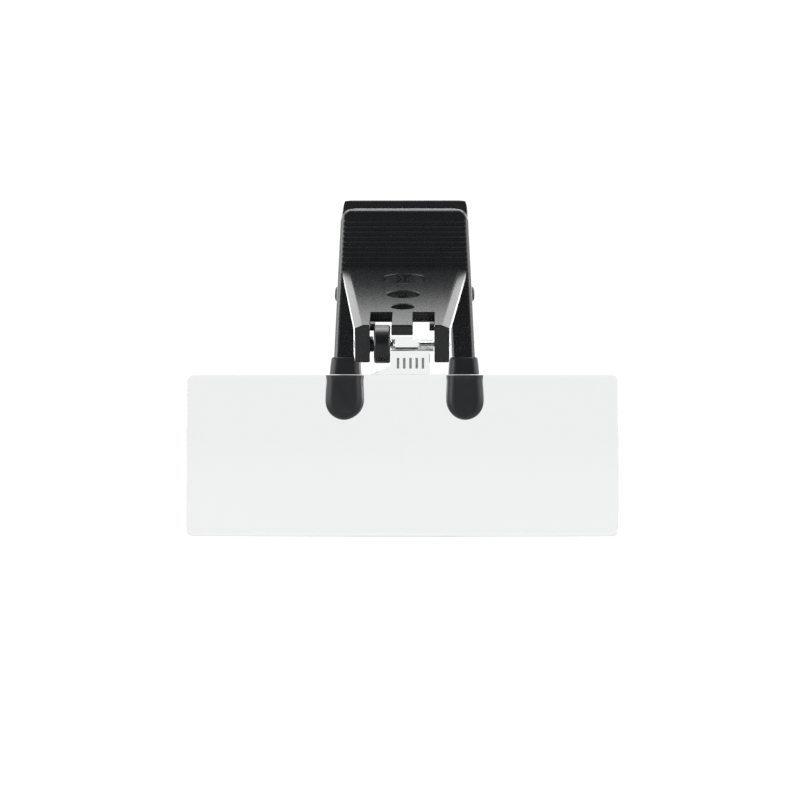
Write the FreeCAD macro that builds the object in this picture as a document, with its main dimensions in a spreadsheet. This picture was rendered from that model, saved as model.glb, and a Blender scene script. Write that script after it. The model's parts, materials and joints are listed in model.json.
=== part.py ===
import FreeCAD, Part
import os
import re
import Sketcher

# Clip-on flip lenses for spectacles: two levers on a spring-loaded pivot pin grip the spectacle
# lenses from the front and the back, and a clear magnifier hangs from the front lever's slab.
#
# Frame: millimetres, +Z up, -Y towards the viewer, +X to the viewer's right. The origin is the middle
# of the gap between the front and rear boots, where the spectacle lens sits.

DIMENSIONS = [
    # jaws and levers
    ("jaw_gap", 2.4, "between the front and rear boots at rest"),
    ("overshoot", 1.0, "reach of a cutter or of a joined piece past the face that it meets"),
    ("pivot_rise", 20.0, "pivot pin above the origin"),
    ("plate_back", 2.6, "from the jaw's middle plane to a lever plate"),
    ("plate_thick", 2.0, "lever plates"),
    ("leg_wide", 4.3, "each leg"),
    ("leg_half", 13.2, "outer half width across the legs at the boots"),
    ("leg_tip", -2.0, "height of the legs' tips"),
    ("leg_in_high", 8.15, "inner half width between the legs at the window's top"),
    ("window_top", 22.6, "top of the window between the legs"),
    ("tab_top", 35.8, "front tab"),
    ("tab_half", 11.85, "front tab's half width at its top"),
    ("tab_round", 1.3, "tab's corners"),
    ("rear_top", 38.7, "rear tab"),
    ("rear_half", 11.95, "rear tab's half width at its top"),
    ("rear_bend", 19.5, "height where the rear tab starts to lean back"),
    ("rear_lean", 20.0, "degrees that the rear tab leans back"),
    # pivot
    ("lug_round", 2.3, "rounded ends of the lugs"),
    ("lug_thick", 2.0, "each lug"),
    ("front_lug_in", 10.35, "inner face of a front lug"),
    ("rear_lug_in", 8.2, "inner face of a rear lug"),
    ("pin_radius", 0.9, "pivot pin"),
    ("pin_play", 0.05, "radial play of the rear lugs on the pin"),
    ("pin_seat", 0.01, "radial play of the front lugs on the pin"),
    ("pin_head_radius", 1.4, "domed ends of the pivot pin"),
    ("pin_head_long", 0.8, "domed ends of the pivot pin"),
    ("pin_head_in", 12.4, "inner faces of the domed ends"),
    ("pin_end", 12.9, "blunt end of the pin, inside the cap"),
    ("pin_dome", 0.55, "rounding of the pin's head"),
    ("cap_dome", 0.28, "rounding of the cap"),
    ("coil_in", 3.6, "inner end of a jaw spring's coil"),
    ("coil_out", 7.8, "outer end of a jaw spring's coil"),
    ("coil_radius", 2.25, "jaw spring's coil, outside"),
    ("coil_bore", 1.55, "jaw spring's coil, inside"),
    ("wire_radius", 0.35, "jaw spring's wire"),
    ("spring_leg", 9.0, "straight legs of a jaw spring"),
    ("spring_splay", 1.8, "degrees that the legs lean towards their plates"),
    # boots
    ("boot_centre", 11.2, "from the middle to a boot's middle"),
    ("boot_half", 3.2, "half width"),
    ("boot_top", 8.0, "top edge"),
    ("boot_tip", -4.2, "lowest point"),
    ("boot_deep", 4.8, "front to back"),
    ("boot_end_round", 3.1, "rounded end, seen from the front"),
    ("boot_edge_round", 1.5, "edges away from the jaw"),
    ("boot_lip_round", 0.4, "edges round the jaw face"),
    ("boot_play", 0.03, "around the leg inside the boot"),
    # slab
    ("slab_root", 24.9, "height where the slab's top meets the front tab"),
    ("slab_tilt", 16.2, "degrees that the slab slopes down to the front"),
    ("slab_long", 44.2, "along the slope"),
    ("slab_thick", 1.8, "slab"),
    ("slab_half_back", 11.6, "half width at the tab"),
    ("slab_half_front", 7.95, "half width at the front end"),
    ("slab_half_ear", 8.3, "half width at the back of the ears"),
    ("slab_into_tab", 1.6, "stretch of the slab inside the tab plate"),
    ("hole_big_at", 9.7, "largest hole, from the tab"),
    ("hole_mid_at", 22.0, "middle hole, from the tab"),
    ("hole_small_at", 31.2, "smallest hole, from the tab"),
    ("hole_big", 4.0, "radius"),
    ("hole_mid", 2.95, "radius"),
    ("hole_small", 2.1, "radius"),
    ("hole_edge", 0.3, "chamfer round the holes' upper edges"),
    ("notch_half", 5.4, "half width of the notch, and the ears' inner faces"),
    ("notch_deep", 9.0, "from the front end"),
    ("tongue_half", 1.8, "half width of the spring tongue"),
    ("ear_tall", 6.6, "from the slab's top"),
    ("ear_deep", 4.2, "along the slope"),
    ("nib_in", 4.6, "inner faces of the nibs in the notch"),
    ("nib_front", 5.0, "nibs, from the front end"),
    ("nib_long", 1.2, "nibs"),
    ("nib_down", 1.1, "top of the nibs under the slab's top"),
    ("nib_tall", 1.2, "nibs"),
    # hinge of the lens
    ("hinge_inset", 1.9, "hinge axis behind the front end, along the slope"),
    ("hinge_drop", 3.8, "hinge axis under the slab's top"),
    ("barrel_radius", 1.35, "clear barrel"),
    ("barrel_flat", 1.22, "flats on the barrel, from its axis"),
    ("barrel_left", 1.9, "barrel's left end, from the middle"),
    ("barrel_right", 5.3, "barrel's right end, from the middle"),
    ("hinge_pin_radius", 0.45, "fixed hinge pin in the right ear"),
    ("hinge_pin_in", 2.9, "inner end of the hinge pin"),
    ("hinge_pin_out", 7.9, "outer end of the hinge pin"),
    ("hinge_play", 0.05, "radial play in the barrel's sockets"),
    ("right_socket_deep", 2.6, "socket in the barrel's right end"),
    ("left_socket_deep", 0.7, "socket in the barrel's left end"),
    # release plunger
    ("head_radius", 3.25, "plunger's head"),
    ("head_left", 4.75, "head's outer face, from the middle"),
    ("head_right", 2.0, "head's face at the barrel"),
    ("head_round", 0.35, "head's rims"),
    ("nose_radius", 0.55, "plunger's nose in the barrel"),
    ("nose_long", 0.45, "plunger's nose"),
    ("stem_radius", 0.7, "plunger's stem in the left ear"),
    ("stem_end", 7.7, "outer end of the stem"),
    ("stem_play", 0.05, "radial play of the stem in the ear"),
    ("seat_radius", 1.5, "counterbore for the spring in the left ear"),
    ("seat_deep", 1.2, "counterbore for the spring in the left ear"),
    ("plunger_coil", 1.35, "plunger spring, outside radius"),
    ("plunger_bore", 0.95, "plunger spring, inside radius"),
    # lens
    ("lens_half", 36.4, "half width"),
    ("lens_top", 5.17, "top edge under the hinge axis"),
    ("lens_tall", 27.2, "height"),
    ("lens_back", 0.75, "flat back face behind the hinge axis"),
    ("lens_corner", 1.1, "rounded corners"),
    ("zone_centre", 9.0, "from the seam to each zone's optical centre"),
    ("zone_radius", 245.0, "curvature of the front of each zone"),
    ("zone_thick", 3.3, "thickness at each zone's optical centre"),
    ("tab_left", 1.9, "clear tab's left edge, from the middle"),
    ("tab_right", 4.7, "clear tab's right edge, from the middle"),
    ("tab_thick", 1.4, "clear tab"),
    ("gusset_out", 5.3, "outer foot of the gusset, from the middle"),
    ("gusset_top", 3.7, "gusset's top under the hinge axis"),
]

doc = FreeCAD.newDocument("clip_on_flip_lenses")
dims = doc.addObject("Spreadsheet::Sheet", "dims")
for row, (alias, size, note) in enumerate(DIMENSIONS, start=1):
    dims.set(f"A{row}", alias)
    dims.set(f"B{row}", str(size))
    dims.setAlias(f"B{row}", alias)
    dims.set(f"C{row}", note)
doc.recompute()

ALIASES = {alias for alias, _, _ in DIMENSIONS}
HINGE_Y = (
    "-plate_back - plate_thick - (slab_long - hinge_inset) * cos(slab_tilt)"
    " + hinge_drop * sin(slab_tilt)"
)
HINGE_Z = "slab_root - (slab_long - hinge_inset) * sin(slab_tilt) - hinge_drop * cos(slab_tilt)"
NEAR = 0.05  # tolerance in millimetres when an edge is picked by its place
nodes = {}


def formula(text):
    """An expression on the sheet, from words that are its aliases."""
    return re.sub(r"[a-z_]+", lambda word: f"dims.{word[0]}" if word[0] in ALIASES else word[0], text)


def value(text):
    """The present number of an expression on the sheet."""
    return float(dims.evalExpression(formula(text)))


def bind(item, **sizes):
    """Binds the properties of an object to expressions on the sheet."""
    for prop, text in sizes.items():
        item.setExpression(prop, formula(text))
    return item


def place(item, prop="Placement", x="0", y="0", z="0", axis=(1, 0, 0), angle="0"):
    """Binds a placement's three offsets and its turn about an axis to the sheet."""
    turn = FreeCAD.Rotation(FreeCAD.Vector(*axis), value(angle))
    setattr(item, prop, FreeCAD.Placement(FreeCAD.Vector(value(x), value(y), value(z)), turn))
    for name, text in (("Base.x", x), ("Base.y", y), ("Base.z", z)):
        item.setExpression(f"{prop}.{name}", formula(text))
    if angle != "0":
        item.setExpression(f"{prop}.Rotation.Angle", formula(angle))
    return item


def at_hinge(item):
    """Puts an object that is modelled about the hinge axis where that axis is."""
    return place(item, y=HINGE_Y, z=HINGE_Z)


def new_body(name):
    return doc.addObject("PartDesign::Body", name)


def new_sketch(body, name, plane, **offset):
    """An empty sketch on one of the body's origin planes, moved by an offset in that plane's own axes."""
    sketch = body.newObject("Sketcher::SketchObject", name)
    support = next(item for item in body.Origin.OriginFeatures if item.Role == plane)
    sketch.AttachmentSupport = (support, [""])
    sketch.MapMode = "FlatFace"
    return place(sketch, "AttachmentOffset", **offset) if offset else sketch


def pin_point(sketch, line, end, x, y):
    """Fixes one end of a line at two distances from the sketch's origin, bound to the sheet."""
    for kind, text in (("DistanceX", x), ("DistanceY", y)):
        index = sketch.addConstraint(Sketcher.Constraint(kind, -1, 1, line, end, value(text)))
        sketch.setExpression(f"Constraints[{index}]", formula(text))


def add_outline(sketch, corners):
    """A closed run of straight lines through corners, each a pair of expressions."""
    first, count = sketch.GeometryCount, len(corners)
    points = [FreeCAD.Vector(value(x), value(y), 0) for x, y in corners]
    for index, point in enumerate(points):
        sketch.addGeometry(Part.LineSegment(point, points[(index + 1) % count]))
    for index, (x, y) in enumerate(corners):
        following = first + (index + 1) % count
        sketch.addConstraint(Sketcher.Constraint("Coincident", first + index, 2, following, 1))
        pin_point(sketch, first + index, 1, x, y)


def add_circle(sketch, x, y, radius):
    centre = FreeCAD.Vector(value(x), value(y), 0)
    circle = sketch.addGeometry(Part.Circle(centre, FreeCAD.Vector(0, 0, 1), value(radius)))
    pin_point(sketch, circle, 3, x, y)
    index = sketch.addConstraint(Sketcher.Constraint("Radius", circle, value(radius)))
    sketch.setExpression(f"Constraints[{index}]", formula(radius))


def pad(body, sketch, length, reverse=False, middle=False):
    feature = body.newObject("PartDesign::Pad", f"{sketch.Name}_pad")
    feature.Profile = sketch
    feature.Reversed = reverse
    feature.SideType = "Symmetric" if middle else "One side"
    bind(feature, Length=length)
    doc.recompute()
    return feature


def pocket(body, sketch, length, reverse=False, middle=False):
    """Cuts the sketch out of the body, and stops the build if nothing was cut."""
    before = body.Shape.Volume
    feature = body.newObject("PartDesign::Pocket", f"{sketch.Name}_cut")
    feature.Profile = sketch
    feature.Reversed = reverse
    feature.SideType = "Symmetric" if middle else "One side"
    bind(feature, Length=length)
    doc.recompute()
    if body.Shape.Volume > before - 1e-3:
        raise RuntimeError(f"{feature.Name} cuts nothing")
    return feature


def blend_edges(body, kind, name, size, chosen):
    """Fillets or chamfers the edges of the body's last feature that the test picks."""
    base = body.Tip
    edges = [f"Edge{i}" for i, edge in enumerate(base.Shape.Edges, start=1) if chosen(edge)]
    if not edges:
        raise RuntimeError(f"{name} finds no edge")
    feature = body.newObject(f"PartDesign::{kind}", name)
    feature.Base = (base, edges)
    bind(feature, **{"Radius" if kind == "Fillet" else "Size": size})
    doc.recompute()
    return feature


def spans(edge):
    """Extents of an edge along X, Y and Z."""
    box = edge.BoundBox
    return box.XLength, box.YLength, box.ZLength


def keep(label, item):
    """Names an object as a finished sub-part."""
    item.Label = label
    nodes[label] = item
    return item


def primitive(kind, name, **sizes):
    return bind(doc.addObject(f"Part::{kind}", name), **sizes)


def combine(kind, name, base, tool):
    """Fuses, cuts or intersects two objects."""
    item = doc.addObject(f"Part::{kind}", name)
    item.Base, item.Tool = base, tool
    item.Refine = False
    doc.recompute()
    return item


def rod(name, radius, start, end, bore=None):
    """A cylinder along X from start to end, with a bore if one is given."""
    solid = primitive("Cylinder", name, Radius=radius, Height=f"({end}) - ({start})")
    place(solid, x=start, axis=(0, 1, 0), angle="90")
    if bore is None:
        return solid
    hollow = primitive("Cylinder", f"{name}_bore", Radius=bore, Height=f"({end}) - ({start})")
    place(hollow, x=start, axis=(0, 1, 0), angle="90")
    return combine("Cut", f"{name}_tube", solid, hollow)


def add_lugs(body, prefix, inner, toward):
    """Two lugs from a lever plate to a round end about the pivot. toward is the plate's side, -1 or 1."""
    root = f"({toward}) * (plate_back + plate_thick / 2)"
    for side in (-1, 1):
        near = f"({side}) * ({inner} + lug_thick / 2) - lug_thick / 2"
        name = f"{prefix}_lug_{'left' if side < 0 else 'right'}"
        arm = new_sketch(body, f"{name}_arm", "YZ_Plane", z=near)
        low, high = "pivot_rise - lug_round", "pivot_rise + lug_round"
        add_outline(arm, [(root, low), ("0", low), ("0", high), (root, high)])
        pad(body, arm, "lug_thick")
        end = new_sketch(body, f"{name}_end", "YZ_Plane", z=near)
        add_circle(end, "0", "pivot_rise", "lug_round")
        pad(body, end, "lug_thick")


def drill_pivot(body, prefix, play):
    hole = new_sketch(body, f"{prefix}_pivot_hole", "YZ_Plane")
    add_circle(hole, "0", "pivot_rise", f"pin_radius + {play}")
    pocket(body, hole, "leg_half * 2", middle=True)


def slab_sketch(body, name, drop="0"):
    """A sketch in the slab's upper face, or a drop under it: x across, y along the slope from the tab."""
    rise = f"slab_root - ({drop}) * cos(slab_tilt)"
    along = f"-plate_back - plate_thick + ({drop}) * sin(slab_tilt)"
    return new_sketch(body, name, "XY_Plane", y=along, z=rise, angle="slab_tilt")


def ear_sketch(body, name, x):
    """A sketch across the ears at x, in the slab's slope: x along the slope, y up from its upper face."""
    return new_sketch(
        body, name, "YZ_Plane", x="-plate_back - plate_thick", y="slab_root", z=x,
        axis=(0, 0, 1), angle="slab_tilt",
    )


def mirrored_outline(half):
    """The corners of a right half, from top to bottom, followed by the same corners at the left."""
    return half + [(f"-({x})", y) for x, y in reversed(half)]


def front_plate(body):
    """The tab and the two legs: one flat plate with a window between the legs."""
    sketch = new_sketch(body, "front_plate", "XZ_Plane", z="plate_back")
    add_outline(sketch, mirrored_outline([
        ("leg_in_high", "window_top"),
        ("leg_half - leg_wide", "boot_top"),
        ("leg_half - leg_wide", "leg_tip"),
        ("leg_half", "leg_tip"),
        ("leg_half", "boot_top"),
        ("tab_half", "tab_top"),
    ]))
    pad(body, sketch, "plate_thick")
    top = value("tab_top")
    blend_edges(body, "Fillet", "front_tab_corners", "tab_round",
                lambda e: spans(e)[0] < NEAR and spans(e)[2] < NEAR and e.BoundBox.ZMin > top - NEAR)


def slab(body):
    """The sloping slab with its notch, spring tongue, holes, ears and nibs."""
    sketch = slab_sketch(body, "slab")
    add_outline(sketch, mirrored_outline([
        ("tongue_half", "-slab_long"),
        ("tongue_half", "notch_deep - slab_long"),
        ("notch_half", "notch_deep - slab_long"),
        ("notch_half", "-slab_long"),
        ("slab_half_front", "-slab_long"),
        ("slab_half_back", "0"),
        ("slab_half_back", "slab_into_tab"),
    ]))
    pad(body, sketch, "slab_thick", reverse=True)
    ears = slab_sketch(body, "ears")
    for side in ("1", "-1"):
        add_outline(ears, [
            (f"{side} * notch_half", "-slab_long"),
            (f"{side} * slab_half_front", "-slab_long"),
            (f"{side} * slab_half_ear", "ear_deep - slab_long"),
            (f"{side} * notch_half", "ear_deep - slab_long"),
        ])
    pad(body, ears, "ear_tall", reverse=True)
    nibs = slab_sketch(body, "nibs", "nib_down")
    front, back = "nib_front - slab_long", "nib_front + nib_long - slab_long"
    for side in ("1", "-1"):
        inner, outer = f"{side} * nib_in", f"{side} * (notch_half + nib_long / 2)"
        add_outline(nibs, [(inner, front), (outer, front), (outer, back), (inner, back)])
    pad(body, nibs, "nib_tall", reverse=True)


def slab_holes(body):
    holes = slab_sketch(body, "slab_holes")
    for size in ("big", "mid", "small"):
        add_circle(holes, "0", f"-hole_{size}_at", f"hole_{size}")
    pocket(body, holes, "slab_thick * 2")
    radii = [value(f"hole_{size}") for size in ("big", "mid", "small")]

    def upper_rim(edge):
        """Tells whether an edge is a hole's rim in the slab's upper face."""
        if not isinstance(edge.Curve, Part.Circle):
            return False
        centre = edge.Curve.Center
        rise = value("slab_root") + (centre.y + value("plate_back + plate_thick")) * value("tan(slab_tilt)")
        known = any(abs(edge.Curve.Radius - radius) < NEAR for radius in radii)
        return known and abs(centre.z - rise) < NEAR

    blend_edges(body, "Chamfer", "hole_chamfers", "hole_edge", upper_rim)


def hinge_holes(body):
    """Bore and counterbore for the plunger in the left ear, and the pin's hole in the right ear."""
    along, up = "hinge_inset - slab_long", "-hinge_drop"
    stem = ear_sketch(body, "stem_hole", "-notch_half + overshoot")
    add_circle(stem, along, up, "stem_radius + stem_play")
    pocket(body, stem, "ear_deep")
    seat = ear_sketch(body, "spring_seat", "-notch_half - seat_deep")
    add_circle(seat, along, up, "seat_radius")
    pocket(body, seat, "seat_deep + overshoot", reverse=True)
    pin = ear_sketch(body, "hinge_pin_hole", "notch_half - overshoot")
    add_circle(pin, along, up, "hinge_pin_radius + pin_seat")
    pocket(body, pin, "ear_deep", reverse=True)


def make_front_lever():
    body = new_body("front_lever_body")
    front_plate(body)
    slab(body)
    slab_holes(body)
    add_lugs(body, "front", "front_lug_in", -1)
    drill_pivot(body, "front", "pin_seat")
    hinge_holes(body)
    return keep("front_lever", body)


def make_rear_lever():
    """A plate with straight legs and a tab that leans back, cut to the same taper as the front lever."""
    body = new_body("rear_lever_body")
    profile = new_sketch(body, "rear_profile", "YZ_Plane")
    lean = "(rear_top - rear_bend) * tan(rear_lean)"
    outer = "plate_back + plate_thick"
    bend_down = "plate_thick * tan(rear_lean / 2)"
    add_outline(profile, [
        ("plate_back", "leg_tip"),
        (outer, "leg_tip"),
        (outer, f"rear_bend - {bend_down}"),
        (f"plate_back + {lean} + plate_thick * cos(rear_lean)", "rear_top - plate_thick * sin(rear_lean)"),
        (f"plate_back + {lean}", "rear_top"),
        ("plate_back", "rear_bend"),
    ])
    pad(body, profile, "leg_half * 2", middle=True)
    trim = new_sketch(body, "rear_trim", "XZ_Plane")
    for side in ("1", "-1"):
        add_outline(trim, [
            (f"{side} * rear_half", "rear_top"),
            (f"{side} * leg_half", "boot_top"),
            (f"{side} * (leg_half + overshoot)", "boot_top"),
            (f"{side} * (leg_half + overshoot)", "rear_top + overshoot"),
            (f"{side} * rear_half", "rear_top + overshoot"),
        ])
    add_outline(trim, mirrored_outline([
        ("leg_half - leg_wide", "leg_tip - overshoot"),
        ("leg_half - leg_wide", "boot_top"),
        ("leg_in_high", "window_top"),
    ]))
    pocket(body, trim, "rear_top * 2", middle=True)
    thick = value("plate_thick")
    blend_edges(body, "Fillet", "rear_tab_corners", "tab_round",
                lambda e: spans(e)[0] < NEAR and spans(e)[2] < thick and e.BoundBox.ZMin > value("tab_top"))
    add_lugs(body, "rear", "rear_lug_in", 1)
    drill_pivot(body, "rear", "pin_play")
    return keep("rear_lever", body)


def make_boot(label, side, jaw):
    """A soft sleeve closed at its tip. side is -1 or 1 across, jaw is -1 for a front boot and 1 for a rear."""
    body = new_body(f"{label}_body")
    sketch = new_sketch(body, f"{label}_outline", "XZ_Plane", z="jaw_gap / 2")
    add_outline(sketch, mirrored_outline([("boot_half", "boot_tip"), ("boot_half", "boot_top")]))
    pad(body, sketch, "boot_deep")
    tip, outer = value("boot_tip"), -value("jaw_gap / 2 + boot_deep")
    blend_edges(body, "Fillet", f"{label}_end", "boot_end_round",
                lambda e: spans(e)[0] < NEAR and spans(e)[2] < NEAR and e.BoundBox.ZMin < tip + NEAR)
    blend_edges(body, "Fillet", f"{label}_outer", "boot_edge_round",
                lambda e: e.BoundBox.YMax < outer + NEAR and e.BoundBox.ZMin < value("boot_top") - NEAR)
    jaw_face = -value("jaw_gap / 2")
    blend_edges(body, "Fillet", f"{label}_lip", "boot_lip_round",
                lambda e: e.BoundBox.YMin > jaw_face - NEAR and e.BoundBox.ZMin < value("boot_top") - NEAR)
    socket = new_sketch(body, f"{label}_socket", "XY_Plane", z="leg_tip - boot_play")
    near, far = "-plate_back + boot_play", "-plate_back - plate_thick - boot_play"
    outer_edge = f"({side * jaw * -1}) * (leg_half - boot_centre + boot_play)"
    inner_edge = f"({side * jaw}) * (boot_centre - leg_half + leg_wide + boot_play)"
    add_outline(socket, [(inner_edge, near), (outer_edge, near), (outer_edge, far), (inner_edge, far)])
    pocket(body, socket, "boot_top - leg_tip + overshoot", reverse=True)
    place(body, x=f"({side}) * boot_centre", axis=(0, 0, 1), angle="180" if jaw > 0 else "0")
    return keep(label, body)


def make_pivot_pin():
    """A plain pin with a domed head at the left, and a domed cap pressed on its right end."""
    shaft = rod("pin_shaft", "pin_radius", "-pin_head_in", "pin_end")
    head = rod("pin_head", "pin_head_radius", "-pin_head_in - pin_head_long", "-pin_head_in")
    pin = combine("Fuse", "pin_blank", shaft, head)
    left = -value("pin_head_in + pin_head_long")
    domed = doc.addObject("Part::Fillet", "pin_domed")
    domed.Base = pin
    domed.Edges = [(i, value("pin_dome"), value("pin_dome"))
                   for i, e in enumerate(pin.Shape.Edges, start=1) if e.BoundBox.XMax < left + NEAR]
    keep("pivot_pin", place(domed, z="pivot_rise"))
    blank = rod("cap_blank", "pin_head_radius", "pin_head_in", "pin_head_in + pin_head_long")
    socket = rod("cap_socket", "pin_radius + pin_seat", "pin_head_in - overshoot", "pin_end + pin_seat")
    cap = combine("Cut", "cap_bored", blank, socket)
    right = value("pin_head_in + pin_head_long")
    rounded = doc.addObject("Part::Fillet", "cap_domed")
    rounded.Base = cap
    rounded.Edges = [(i, value("cap_dome"), value("cap_dome"))
                     for i, e in enumerate(cap.Shape.Edges, start=1) if e.BoundBox.XMin > right - NEAR]
    keep("pivot_pin_cap", place(rounded, z="pivot_rise"))


def make_jaw_spring(label, side):
    """The outer shape of a torsion spring about the pin: a sleeve for the coil, and its two straight legs."""
    ends = sorted([f"({side}) * coil_in", f"({side}) * coil_out"], key=value)
    coil = rod(f"{label}_coil", "coil_radius", *ends, bore="coil_bore")
    mean = "(coil_radius - wire_radius)"
    front = primitive("Cylinder", f"{label}_front_leg", Radius="wire_radius", Height="spring_leg")
    place(front, x=f"({side}) * (coil_in + wire_radius)", y=f"-{mean}", angle="spring_splay")
    rear = primitive("Cylinder", f"{label}_rear_leg", Radius="wire_radius", Height="spring_leg")
    place(
        rear, x=f"({side}) * (coil_out - wire_radius)", y=f"{mean} * cos(rear_lean)",
        z=f"-{mean} * sin(rear_lean)", angle="-rear_lean - spring_splay",
    )
    spring = combine("Fuse", f"{label}_wire", combine("Fuse", f"{label}_half", coil, front), rear)
    return keep(label, place(spring, z="pivot_rise"))


def make_lens():
    """Two plano-convex zones that meet in a seam, with a tab, a gusset and a hinge barrel, all one moulding."""
    plate = primitive(
        "Box", "lens_plate", Length="lens_half * 2", Width="zone_thick", Height="lens_tall",
    )
    place(plate, x="-lens_half", y="lens_back - zone_thick", z="-lens_top - lens_tall")
    doc.recompute()
    rounded = doc.addObject("Part::Fillet", "lens_corners")
    rounded.Base = plate
    rounded.Edges = [(i, value("lens_corner"), value("lens_corner"))
                     for i, e in enumerate(plate.Shape.Edges, start=1) if spans(e)[1] > NEAR]
    balls = []
    for side, name in ((-1, "left"), (1, "right")):
        ball = primitive("Sphere", f"{name}_ball", Radius="zone_radius")
        place(ball, x=f"({side}) * zone_centre", y="lens_back - zone_thick + zone_radius",
              z="-lens_top - lens_tall / 2")
        balls.append(ball)
    pane = combine("Common", "lens_pane", rounded, combine("Fuse", "joined_balls", *balls))
    handle = new_body("lens_handle")
    sketch = new_sketch(handle, "handle_outline", "XZ_Plane")
    add_outline(sketch, [
        ("-gusset_out", "-lens_top"), ("-tab_left", "-gusset_top"), ("-tab_left", "0"),
        ("tab_right", "0"), ("tab_right", "-lens_top"),
    ])
    pad(handle, sketch, "tab_thick", middle=True)
    barrel = rod("barrel_round", "barrel_radius", "-barrel_left", "barrel_right")
    square = primitive("Box", "barrel_square", Length="barrel_left + barrel_right",
                       Width="barrel_flat * 2", Height="barrel_flat * 2")
    place(square, x="-barrel_left", y="-barrel_flat", z="-barrel_flat")
    cam = combine("Common", "barrel_cam", barrel, square)
    solid = combine("Fuse", "lens_solid", combine("Fuse", "lens_and_tab", pane, handle), cam)
    right = rod("right_socket", "hinge_pin_radius + hinge_play", "barrel_right - right_socket_deep",
                "barrel_right + overshoot")
    left = rod("left_socket", "nose_radius + hinge_play", "-barrel_left - overshoot",
               "left_socket_deep - barrel_left")
    lens = combine("Cut", "lens_bored", combine("Cut", "lens_drilled", solid, right), left)
    return keep("lens", at_hinge(lens))


def make_hinge_hardware():
    """The fixed pin, the release plunger and its spring, all about the hinge axis."""
    keep("hinge_pin", at_hinge(hinge_rod("pin", "hinge_pin_radius", "hinge_pin_in", "hinge_pin_out")))
    head = hinge_rod("head", "head_radius", "-head_left", "-head_right")
    rounded = doc.addObject("Part::Fillet", "plunger_head_rims")
    rounded.Base = head
    rounded.Edges = [(i, value("head_round"), value("head_round"))
                     for i, e in enumerate(head.Shape.Edges, start=1) if spans(e)[0] < NEAR]
    stem = hinge_rod("stem", "stem_radius", "-stem_end", "-head_left + overshoot")
    nose = hinge_rod("nose", "nose_radius", "-head_right - overshoot", "nose_long - head_right")
    with_stem = combine("Fuse", "plunger_with_stem", rounded, stem)
    keep("release_plunger", at_hinge(combine("Fuse", "plunger_whole", with_stem, nose)))
    spring = rod("plunger_spring_coil", "plunger_coil", "-notch_half - seat_deep", "-head_left",
                 bore="plunger_bore")
    keep("plunger_spring", at_hinge(spring))


def hinge_rod(name, radius, start, end):
    solid = rod(f"hinge_{name}", radius, start, end)
    doc.recompute()
    holder = doc.addObject("Part::Compound", f"hinge_{name}_holder")
    holder.Links = [solid]
    doc.recompute()
    return holder


def check_and_export():
    """Stops if any object failed, then writes each sub-part's shape to its own file."""
    doc.recompute()
    for item in doc.Objects:
        if "Invalid" in item.State or "Error" in item.State:
            raise RuntimeError(f"{item.Label} failed: {item.State}")
    os.makedirs("parts", exist_ok=True)
    for label, item in nodes.items():
        shape = item.Shape
        if shape.isNull() or not shape.isValid() or len(shape.Solids) != 1:
            raise RuntimeError(f"{label} has no single valid solid")
        shape.exportStep(f"parts/{label}.step")
        print(f"{label}: {shape.Volume:.1f} mm3")


make_front_lever()
make_rear_lever()
for jaw, end in ((-1, "front"), (1, "rear")):
    for side, hand in ((-1, "left"), (1, "right")):
        make_boot(f"{end}_{hand}_boot", side, jaw)
make_pivot_pin()
for side, hand in ((-1, "left"), (1, "right")):
    make_jaw_spring(f"jaw_spring_{hand}", side)
make_lens()
make_hinge_hardware()
check_and_export()
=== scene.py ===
import bpy
import bmesh
import json
import math
from mathutils import Matrix, Vector


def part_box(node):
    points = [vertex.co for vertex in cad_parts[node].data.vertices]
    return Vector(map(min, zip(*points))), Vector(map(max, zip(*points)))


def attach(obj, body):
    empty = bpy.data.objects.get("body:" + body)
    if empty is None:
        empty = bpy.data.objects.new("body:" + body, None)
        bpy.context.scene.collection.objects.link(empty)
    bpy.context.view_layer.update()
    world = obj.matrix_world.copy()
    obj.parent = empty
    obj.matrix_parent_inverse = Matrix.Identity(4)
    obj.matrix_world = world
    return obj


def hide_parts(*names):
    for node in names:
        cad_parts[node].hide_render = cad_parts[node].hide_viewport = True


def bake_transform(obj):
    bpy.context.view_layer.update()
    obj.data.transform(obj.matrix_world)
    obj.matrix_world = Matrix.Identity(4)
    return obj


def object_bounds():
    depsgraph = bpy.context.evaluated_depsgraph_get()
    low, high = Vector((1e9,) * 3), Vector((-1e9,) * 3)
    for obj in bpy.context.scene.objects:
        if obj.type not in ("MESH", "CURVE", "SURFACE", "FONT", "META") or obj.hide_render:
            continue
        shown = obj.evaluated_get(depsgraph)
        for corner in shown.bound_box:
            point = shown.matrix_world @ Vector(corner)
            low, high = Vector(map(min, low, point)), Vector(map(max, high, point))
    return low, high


# Clip-on flip lenses: two moulded levers on a sprung pivot pin, four silicone boots, and a clear
# twin lens that hangs on a hinge at the front end of the slab. Lengths are millimetres until a
# mesh is made, and metres after that, in the same frame as the CAD.

mm = 0.001
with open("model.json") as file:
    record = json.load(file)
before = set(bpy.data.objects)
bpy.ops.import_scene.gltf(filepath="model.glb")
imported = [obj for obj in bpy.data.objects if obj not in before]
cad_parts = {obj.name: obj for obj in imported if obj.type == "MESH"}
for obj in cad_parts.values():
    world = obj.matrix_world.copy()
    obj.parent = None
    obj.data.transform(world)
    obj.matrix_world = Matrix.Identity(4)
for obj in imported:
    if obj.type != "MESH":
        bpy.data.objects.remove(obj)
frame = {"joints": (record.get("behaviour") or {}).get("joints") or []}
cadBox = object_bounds()
joints = {joint["name"]: joint for joint in frame["joints"]}
pivotAxis = Vector(joints["jaw_pivot"]["pos_m"]) / mm
hingeAxis = Vector(joints["lens_flip"]["pos_m"]) / mm
hair = 1e-7  # metres, the distance within which points count as one


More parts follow.
